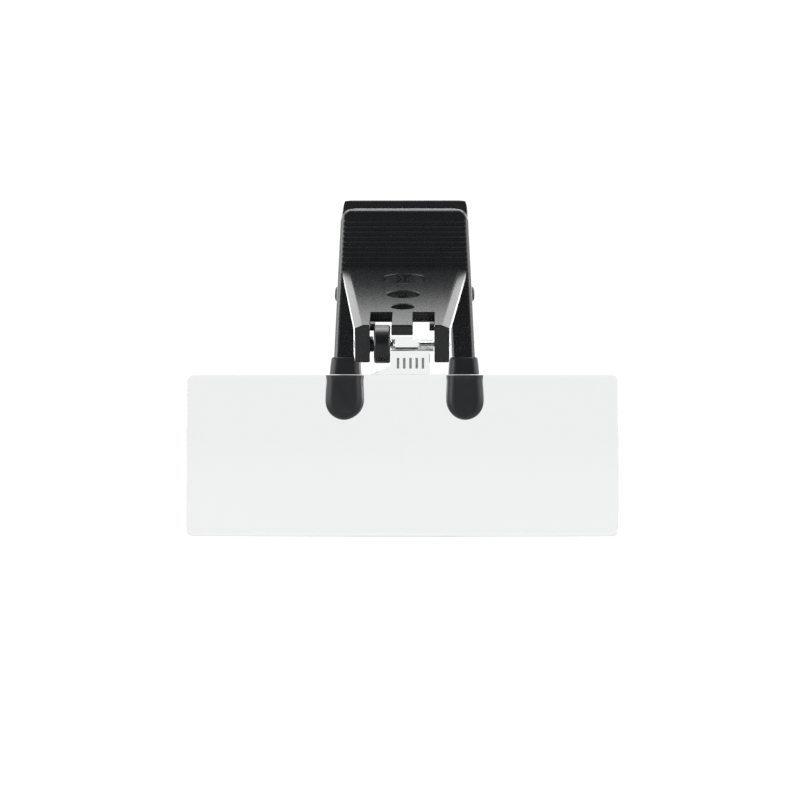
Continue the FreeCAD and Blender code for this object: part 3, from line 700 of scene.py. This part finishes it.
def quarterLoss(round, rise):
    # how far a rounded end of a given radius has drawn in, at a rise above its lowest point
    left = max(0, 1 - rise / round)
    return round * (1 - math.sqrt(max(0, 1 - left ** 2)))


def boot(node, body):
    # a sleeve closed at its tip: rounded sections from the tip to a cuff, then in and down the mouth
    low, high = (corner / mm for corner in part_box(node))
    away = 1 if low.y > 0 else -1  # the way from the jaw to the boot's outer side
    jaw = low.y if away > 0 else -high.y
    deep = high.y - low.y
    tipRound, lip = boots["tipRound"], boots["lip"]
    half = (high.x - low.x) / 2
    centre = (low.x + high.x) / 2
    legX = math.copysign(plate["legHalf"] - plate["legWide"] / 2, centre)
    bm = bmesh.new()
    rings = []
    for step in range(boots["up"] + 1):
        rise = (high.z - lip - low.z) * (step / boots["up"]) ** boots["crowding"]
        end = max(0, 1 - rise / boots["endHigh"])
        wide = half * math.sqrt(max(boots["leastTip"], 1 - end ** boots["endBlunt"]))
        narrow = max(0, 1 - (high.z - low.z - rise) / boots["shoulder"]) ** boots["neck"]
        middle = centre + (legX - centre) * narrow
        wide += (boots["mouthHalf"] - half) * narrow
        far = jaw + deep - quarterLoss(tipRound, rise) - boots["mouthDeep"] * narrow
        near = jaw + quarterLoss(tipRound / 3, rise)
        rings.append(sleeveRing(bm, middle, away, low.z + rise, wide, near, far,
            boots["corner"], boots["jawCorner"]))
    for turn in (30, 60, 90):
        inset = lip * (1 - math.cos(math.radians(turn)))
        z = high.z - lip * (1 - math.sin(math.radians(turn)))
        rings.append(sleeveRing(bm, legX, away, z, boots["mouthHalf"] - inset, jaw + inset,
            jaw + deep - boots["mouthDeep"] - inset, boots["corner"], boots["jawCorner"]))
    legY = plate["back"] + plate["thick"] / 2
    flare = [(boots["flareTop"], boots["mouthFlare"]), (boots["flareDeep"], 0), (boots["mouth"], 0)]
    for down, wider in flare:
        wide, thick = boots["legWide"] / 2 + wider, boots["legThick"] / 2 + wider
        rings.append(sleeveRing(bm, legX, away, high.z - down, wide, legY - thick, legY + thick,
            boots["mouthCorner"], boots["mouthCorner"]))
    for first, second in zip(rings, rings[1:]):
        for step in range(len(first)):
            after = (step + 1) % len(first)
            bm.faces.new((first[step], first[after], second[after], second[step]))
    for end in (rings[0], rings[-1]):
        bm.faces.new(end)
    piece = fromBmesh(f"{node}_sleeve", bm)
    handOver(smoothShade(piece, 50, weighted=False), rubber, body, "soft_silicone", node)


pin = {"shaft": 0.88, "head": 1.4, "headIn": 12.4, "headOut": 13.2, "dome": 0.5, "dimple": 0.12,
    "dimpleRadius": 0.35, "dimpleFloor": 0.7, "underRound": 0.08, "domeSteps": 8, "shaftPast": 0.3,
    "shaftEnd": 0.4, "capDeep": 0.45, "capPlay": 0.03}
hingePin = {"radius": 0.44, "point": 0.15}
plunger = {"outer": -4.75, "rim": 0.4, "face": 0.25, "ledge": 2.45, "nose": 0.55, "noseLong": 0.45,
    "stem": 0.7, "stemPoint": 0.2, "ledgeRound": 0.1, "rimBreak": 0.08, "nosePoint": 0.1}


def domedHead():
    # one end of the pivot pin, from its rim to the dimple in the middle of its dome
    headIn, under = pin["headIn"], pin["underRound"]
    pairs = [(headIn, pin["head"] - under), (headIn + under, pin["head"])]
    flat = pin["headOut"] - pin["dome"]
    for step in range(pin["domeSteps"] + 1):
        turn = math.pi / 2 * step / pin["domeSteps"]
        radius = pin["head"] - (pin["head"] - pin["dimpleRadius"]) * (1 - math.cos(turn))
        pairs.append((flat + pin["dome"] * math.sin(turn), radius))
    return pairs + [(pin["headOut"] - pin["dimple"], pin["dimpleRadius"] * pin["dimpleFloor"]),
        (pin["headOut"] - pin["dimple"], 0)]


def pivotPin():
    head = domedHead()
    left = [(-x, radius) for x, radius in reversed(head)]
    headIn = pin["headIn"]
    shaft = [(-headIn, pin["shaft"]), (headIn + pin["shaftPast"], pin["shaft"]),
        (headIn + pin["shaftEnd"], 0)]
    whole = turned("pivot_pin_turned", left + shaft, pivotAxis)
    handOver(smoothShade(whole), blackSteel, "root", "blackened_steel", "pivot_pin")
    floor, hollow = headIn + pin["capDeep"], pin["shaft"] + pin["capPlay"]
    inside = [(floor, 0), (floor, hollow), (headIn, hollow)]
    cap = turned("pivot_pin_cap_turned", inside + head, pivotAxis)
    handOver(smoothShade(cap), blackSteel, "root", "blackened_steel", "pivot_pin_cap")


def hingePinPiece():
    low, high = (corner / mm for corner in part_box("hinge_pin"))
    point, radius = hingePin["point"], hingePin["radius"]
    profile = [(low.x, 0)] + quarterRound(low.x, radius, point, -1)[::-1]
    profile += quarterRound(high.x, radius, point, 1) + [(high.x, 0)]
    whole = turned("hinge_pin_turned", profile, hingeAxis, segments=40)
    handOver(smoothShade(whole), steel, "root", "bright_steel", "hinge_pin")


def plungerPiece():
    low, high = (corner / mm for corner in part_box("release_plunger"))
    radius = (high.z - low.z) / 2
    left, right = plunger["outer"], high.x - plunger["noseLong"]
    rim = plunger["rim"]
    profile = [(low.x, 0), (low.x, plunger["stem"] - plunger["stemPoint"]),
        (low.x + plunger["stemPoint"], plunger["stem"]), (left + plunger["face"], plunger["stem"]),
        (left + plunger["face"], plunger["ledge"] - plunger["ledgeRound"]),
        (left + plunger["rimBreak"], plunger["ledge"]), (left, plunger["ledge"] + plunger["rimBreak"])]
    profile += quarterRound(left, radius, rim, -1)[::-1] + quarterRound(right, radius, rim, 1)
    nose, point = plunger["nose"], plunger["nosePoint"]
    profile += [(right, nose), (high.x - point, nose), (high.x, nose - point), (high.x, 0)]
    whole = turned("release_plunger_turned", profile, hingeAxis, segments=96)
    handOver(smoothShade(whole), blackAbs, "plunger", "moulded_black", "release_plunger")


jawSpring = {"wire": 0.33, "mean": 1.9, "inner": 3.95, "outer": 7.45, "turns": 4, "leg": 8.6, "splay": 1.8,
    "perTurn": 28}
plungerSpring = {"wire": 0.23, "mean": 1.1, "turns": 4.0, "perTurn": 24, "closed": 0.06}


def wirePiece(name, points, radius):
    curve = bpy.data.curves.new(name, "CURVE")
    curve.dimensions = "3D"
    spline = curve.splines.new("POLY")
    spline.points.add(len(points) - 1)
    for place, point in zip(spline.points, points):
        place.co = (*(Vector(point) * mm), 1)
    made = grow(name, wireTree, {"Wire Radius": radius * mm}, curve)
    return smoothShade(made, 60, weighted=False)


def jawSpringPiece(node, hand):
    # torsion spring: front leg down, four and a bit turns outwards, and up the leaning rear leg
    lean = math.radians(rear["lean"])
    splay = math.radians(jawSpring["splay"])
    mean, inner, leg = jawSpring["mean"], jawSpring["inner"], jawSpring["leg"]
    sweep = 2 * math.pi * jawSpring["turns"] + math.pi - lean
    steps = round(jawSpring["perTurn"] * sweep / (2 * math.pi))
    points = [(inner, -mean - leg * math.sin(splay), leg * math.cos(splay))]
    for step in range(steps + 1):
        turn = math.pi + sweep * step / steps
        x = inner + (jawSpring["outer"] - inner) * step / steps
        points.append((x, mean * math.cos(turn), mean * math.sin(turn)))
    last = points[-1]
    reach = lean + splay
    points.append((last[0], last[1] + leg * math.sin(reach), last[2] + leg * math.cos(reach)))
    points = [(hand * x, pivotAxis.y + y, pivotAxis.z + z) for x, y, z in points]
    piece = wirePiece(f"{node}_wire", points, jawSpring["wire"])
    handOver(piece, wireSteel, None, "spring_wire", node)
    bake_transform(piece)


def plungerSpringPiece():
    low, high = (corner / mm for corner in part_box("plunger_spring"))
    wire = plungerSpring["wire"]
    steps = round(plungerSpring["turns"] * plungerSpring["perTurn"])
    points = []
    for step in range(steps + 1):
        turn = 2 * math.pi * plungerSpring["turns"] * step / steps
        share = step / steps
        along = share - plungerSpring["closed"] * math.sin(2 * math.pi * share)  # closed up at both ends
        x = low.x + wire + (high.x - low.x - 2 * wire) * along
        points.append((x, hingeAxis.y + plungerSpring["mean"] * math.cos(turn),
            hingeAxis.z + plungerSpring["mean"] * math.sin(turn)))
    piece = wirePiece("plunger_spring_wire", points, wire)
    handOver(piece, wireSteel, None, "spring_wire", "plunger_spring")
    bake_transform(piece)


lens = {"half": 36.4, "top": 5.17, "tall": 27.2, "back": 0.75, "thick": 3.3, "corner": 1.1, "edge": 0.2,
    "zoneCentre": 9.0, "zoneRadius": 245.0, "seamWide": 0.2, "seamDeep": 0.12, "seamAbove": 0.1,
    "seamBelow": 1, "rimAngle": 60, "near": 0.01}
clearTab = {"left": 1.9, "right": 4.7, "thick": 1.4, "foot": 5.3, "footTop": 3.7, "sink": 0.4, "edge": 0.15,
    "barCount": 5, "barPitch": 1.05, "barWide": 0.42, "barTall": 1.8, "barDeep": 0.22, "barGap": 0.004}
barrel = {"radius": 1.35, "flat": 1.22, "left": -1.9, "right": 5.3, "socket": 0.5, "socketDeep": 2.6,
    "noseSocket": 0.6, "noseDeep": 0.7, "chamfer": 0.1, "past": 1}
lensPlace = Matrix.Translation(hingeAxis)  # the lens hangs straight down from its hinge


def lensPiece():
    sheet = grow("lens_moulding", lensTree, {
        "Half Width": lens["half"] * mm, "Height": lens["tall"] * mm, "Thickness": lens["thick"] * mm,
        "Zone Centre": lens["zoneCentre"] * mm, "Zone Radius": lens["zoneRadius"] * mm})
    bm = bmesh.new()
    bm.from_mesh(sheet.data)
    bmesh.ops.remove_doubles(bm, verts=bm.verts, dist=10 * hair)
    corners = []
    for edge in bm.edges:
        first, second = (vertex.co for vertex in edge.verts)
        straight = abs(first.x - second.x) < hair and abs(first.z - second.z) < hair
        atSide = abs(first.x) > (lens["half"] - lens["near"]) * mm
        if straight and atSide and abs(first.z) > (lens["tall"] / 2 - lens["near"]) * mm:
            corners.append(edge)
    bmesh.ops.bevel(bm, geom=corners, offset=lens["corner"] * mm, segments=6, profile=0.5, affect="EDGES")
    bmesh.ops.recalc_face_normals(bm, faces=bm.faces)
    rim = [edge for edge in bm.edges if edge.calc_face_angle(0) > math.radians(lens["rimAngle"])]
    bmesh.ops.bevel(bm, geom=rim, offset=lens["edge"] * mm, segments=2, profile=0.5, affect="EDGES")
    middle = -lens["top"] - lens["tall"] / 2
    place = lensPlace @ Matrix.Translation((0, lens["back"], middle))
    bm.transform(Matrix.Scale(mm, 4) @ place @ Matrix.Scale(1 / mm, 4))
    bm.to_mesh(sheet.data)
    bm.free()
    fine = clearTab["edge"]
    foot = -lens["top"] - clearTab["sink"]
    left, right, thick = -clearTab["left"], clearTab["right"], clearTab["thick"]
    handle = prism("handle", [(x, y, 0, fine, fine) for x, y in (
        (-clearTab["foot"], foot), (-clearTab["foot"], -lens["top"]), (left, -clearTab["footTop"]),
        (left, 0), (right, 0), (right, foot))], -thick / 2, thick / 2, lensPlace @ upright, segments=2)
    left, right, radius, chamfer = barrel["left"], barrel["right"], barrel["radius"], barrel["chamfer"]
    tube = turned("barrel", [(left, 0), (left, radius - chamfer), (left + chamfer, radius),
        (right - chamfer, radius), (right, radius - chamfer), (right, 0)], hingeAxis, segments=48)
    flat, past = barrel["flat"], barrel["past"]
    square = [(x, y, 0, 0, 0) for x, y in ((-flat, -flat), (flat, -flat), (flat, flat), (-flat, flat))]
    carve(tube, "INTERSECT", prism("flats", square, left - past, right + past, lensPlace @ sideways))
    sockets = [(right - barrel["socketDeep"], right + past, barrel["socket"]),
        (left - past, left + barrel["noseDeep"], barrel["noseSocket"])]
    carve(handle, "UNION", tube)
    carve(handle, "DIFFERENCE", *[
        turned("socket", [(first, 0), (first, bore), (last, bore), (last, 0)], hingeAxis, segments=40)
        for first, last, bore in sockets])
    # the raised bars carry a painted grey shade in place of the dark that refraction gives them
    bars = grow("raised_size_bars", barsTree, {
        "Count": clearTab["barCount"], "Pitch": clearTab["barPitch"] * mm,
        "Bar Width": clearTab["barWide"] * mm, "Bar Height": clearTab["barTall"] * mm,
        "Bar Depth": clearTab["barDeep"] * mm})
    span = clearTab["barPitch"] * (clearTab["barCount"] - 1)
    centre = (clearTab["right"] - clearTab["left"]) / 2
    height = -(barrel["radius"] + lens["top"]) / 2
    proud = -clearTab["thick"] / 2 - clearTab["barDeep"] / 2 - clearTab["barGap"]
    metres = lensPlace @ Matrix.Translation((centre - span / 2, proud, height))
    bars.data.transform(Matrix.Scale(mm, 4) @ metres @ Matrix.Scale(1 / mm, 4))
    handOver(smoothShade(bars, 30), frostedPaintedShade, "flip_lens", "clear_acrylic")
    carve(sheet, "UNION", handle)
    face = lens["thick"] - lens["back"] - (lens["zoneCentre"] ** 2) / (2 * lens["zoneRadius"])
    deep, wide = lens["seamDeep"], lens["seamWide"]
    vee = [(0, deep - face, 0, 0, 0), (wide, -face - deep, 0, 0, 0), (-wide, -face - deep, 0, 0, 0)]
    # the moulded seam between the zones is a fine vee
    carve(sheet, "DIFFERENCE", prism("seam", vee, -lens["top"] - lens["tall"] - lens["seamBelow"],
        -lens["top"] + lens["seamAbove"], lensPlace))
    handOver(smoothShade(sheet, 25), acrylic, "flip_lens", "clear_acrylic", "lens")


stage = {"drop": 30, "size": 8000, "floor": "#ffffff", "floorGlow": 1.02, "bounce": "#858586",
    "shade": "#282828"}
light = {"seen": 1.07, "flank": 0.15, "front": 0.035, "back": 1.9, "wall": 1.6, "wallTop": 0.5,
    "wallFull": 0.2, "white": "#ffffff", "frontEnd": -0.75, "backEnd": 0.55, "endsFrom": 0.3,
    "endsFull": 0.8}
camera = {"place": (3.9, -420, 0), "yaw": 0.652, "lens": 100.2, "sensor": 36, "near": 0.01, "far": 20}
softboxes = [
    # name, place and size in millimetres, power in watts
    ("left softbox", (-620, 0, 120), (600, 700), 2.6),
    ("right softbox", (620, 0, 120), (600, 700), 2.6),
    ("left front softbox", (-520, -330, 40), (350, 500), 3.2),
    ("right front softbox", (560, -300, 40), (300, 500), 1.6),
    ("top softbox", (0, 60, 700), (900, 420), 5.0),
]


def seenOrThrough(tree):
    # 1 where a surface is seen straight on or through the lens, and 0 where it only gives light
    path = addNode(tree, "ShaderNodeLightPath").outputs
    bounces = addNode(tree, "ShaderNodeMath", {0: path["Diffuse Depth"], 1: path["Glossy Depth"]})
    return addNode(tree, "ShaderNodeMath", {0: bounces.outputs[0], 1: 0.5}, operation="LESS_THAN").outputs[0]


def buildStage():
    # white to look at, but dimmer where it lights the object or reflects in it, which real paper isn't
    floorMaterial, tree, _ = newMaterial("pale floor")
    paper = addNode(tree, "ShaderNodeBsdfPrincipled", {
        "Base Color": linearColour(stage["shade"]), "Specular IOR Level": 0.0,
        "Emission Strength": stage["floorGlow"], "Emission Color": linearColour(stage["floor"])})
    dim = addNode(tree, "ShaderNodeBsdfDiffuse", {"Color": linearColour(stage["bounce"])})
    output(tree, addNode(tree, "ShaderNodeMixShader", {0: seenOrThrough(tree), 1: dim.outputs[0],
        2: paper.outputs[0]}))
    bm = bmesh.new()
    bmesh.ops.create_grid(bm, x_segments=1, y_segments=1, size=stage["size"] / 2)
    level = cadBox[0].z / mm - stage["drop"]
    floor = fromBmesh("floor", bm, Matrix.Translation((0, 0, level)))
    floor.data.materials.append(floorMaterial)


def buildWorld():
    # dim in front of the object, bright behind it, and brightest on the low wall behind
    world = bpy.data.worlds.new("studio surround")
    bpy.context.scene.world = world
    world.use_nodes = True
    tree = world.node_tree
    tree.nodes.clear()
    way = addNode(tree, "ShaderNodeTexCoord").outputs["Generated"]
    parts = addNode(tree, "ShaderNodeSeparateXYZ", {0: way}).outputs
    level = addNode(tree, "ShaderNodeMapRange", {"Value": parts["Y"], "From Min": light["frontEnd"],
        "From Max": light["backEnd"],
        "To Min": light["front"], "To Max": light["back"]}, interpolation_type="SMOOTHSTEP")
    low = addNode(tree, "ShaderNodeMapRange", {"Value": parts["Z"], "From Min": light["wallTop"],
        "From Max": light["wallFull"], "To Max": light["wall"]}, interpolation_type="SMOOTHSTEP")
    behind = addNode(tree, "ShaderNodeMapRange", {"Value": parts["Y"], "From Min": light["endsFrom"],
        "From Max": light["endsFull"]})
    wall = addNode(tree, "ShaderNodeMath", {0: low.outputs[0], 1: behind.outputs[0], 2: level.outputs[0]},
        operation="MULTIPLY_ADD")
    lamp = addNode(tree, "ShaderNodeBackground", {"Color": linearColour(light["white"]),
        "Strength": wall.outputs[0]})
    # seen through clear edges, the sides, top and bottom of the room are darker than its ends
    endwise = addNode(tree, "ShaderNodeMath", {0: parts["Y"]}, operation="ABSOLUTE")
    ends = addNode(tree, "ShaderNodeMapRange", {"Value": endwise.outputs[0],
        "From Min": light["endsFrom"], "From Max": light["endsFull"],
        "To Min": light["flank"], "To Max": light["seen"]}, interpolation_type="SMOOTHSTEP")
    straight = addNode(tree, "ShaderNodeLightPath").outputs["Is Camera Ray"]
    white = addNode(tree, "ShaderNodeMix", {0: straight, 2: ends.outputs[0], 3: light["seen"]})
    seen = addNode(tree, "ShaderNodeBackground", {"Color": linearColour(light["white"]),
        "Strength": white.outputs[0]})
    mixed = addNode(tree, "ShaderNodeMixShader", {0: seenOrThrough(tree), 1: lamp.outputs[0],
        2: seen.outputs[0]})
    addNode(tree, "ShaderNodeOutputWorld", {"Surface": mixed.outputs[0]})


def buildLights():
    for name, place, size, power in softboxes:
        lamp = bpy.data.lights.new(name, "AREA")
        lamp.shape = "RECTANGLE"
        lamp.size, lamp.size_y = (side * mm for side in size)
        lamp.energy = power
        holder = newObject(name, lamp)
        holder.location = Vector(place) * mm
        holder.rotation_euler = (-holder.location).to_track_quat("-Z", "Y").to_euler()
        holder.visible_camera = False


def buildCamera():
    eye = bpy.data.cameras.new("camera")
    eye.lens = camera["lens"]
    eye.sensor_width = camera["sensor"]
    eye.clip_start, eye.clip_end = camera["near"], camera["far"]
    holder = newObject("camera", eye)
    holder.location = Vector(camera["place"]) * mm
    holder.rotation_euler = (math.radians(90), 0, math.radians(camera["yaw"]))
    bpy.context.scene.camera = holder
    bpy.context.scene.view_settings.view_transform = "Standard"


buildCamera()
buildStage()
buildWorld()
buildLights()
print("stage, camera and light made")
frontLever()
rearLever()
gripRibs("front_grip_ribs", "root", ribs["frontFirst"], ribs["frontCount"], plate["tabTop"], plate["tabHalf"])
gripRibs("rear_grip_ribs", "rear_jaw", ribs["rearFirst"], ribs["rearCount"], rearTop(), rear["half"])
print("levers made")
for side in ("left", "right"):
    boot(f"front_{side}_boot", "root")
    boot(f"rear_{side}_boot", "rear_jaw")
print("boots made")
pivotPin()
hingePinPiece()
plungerPiece()
for side, hand in (("left", -1), ("right", 1)):
    jawSpringPiece(f"jaw_spring_{side}", hand)
plungerSpringPiece()
print("pins and springs made")
lensPiece()
print("lens made")
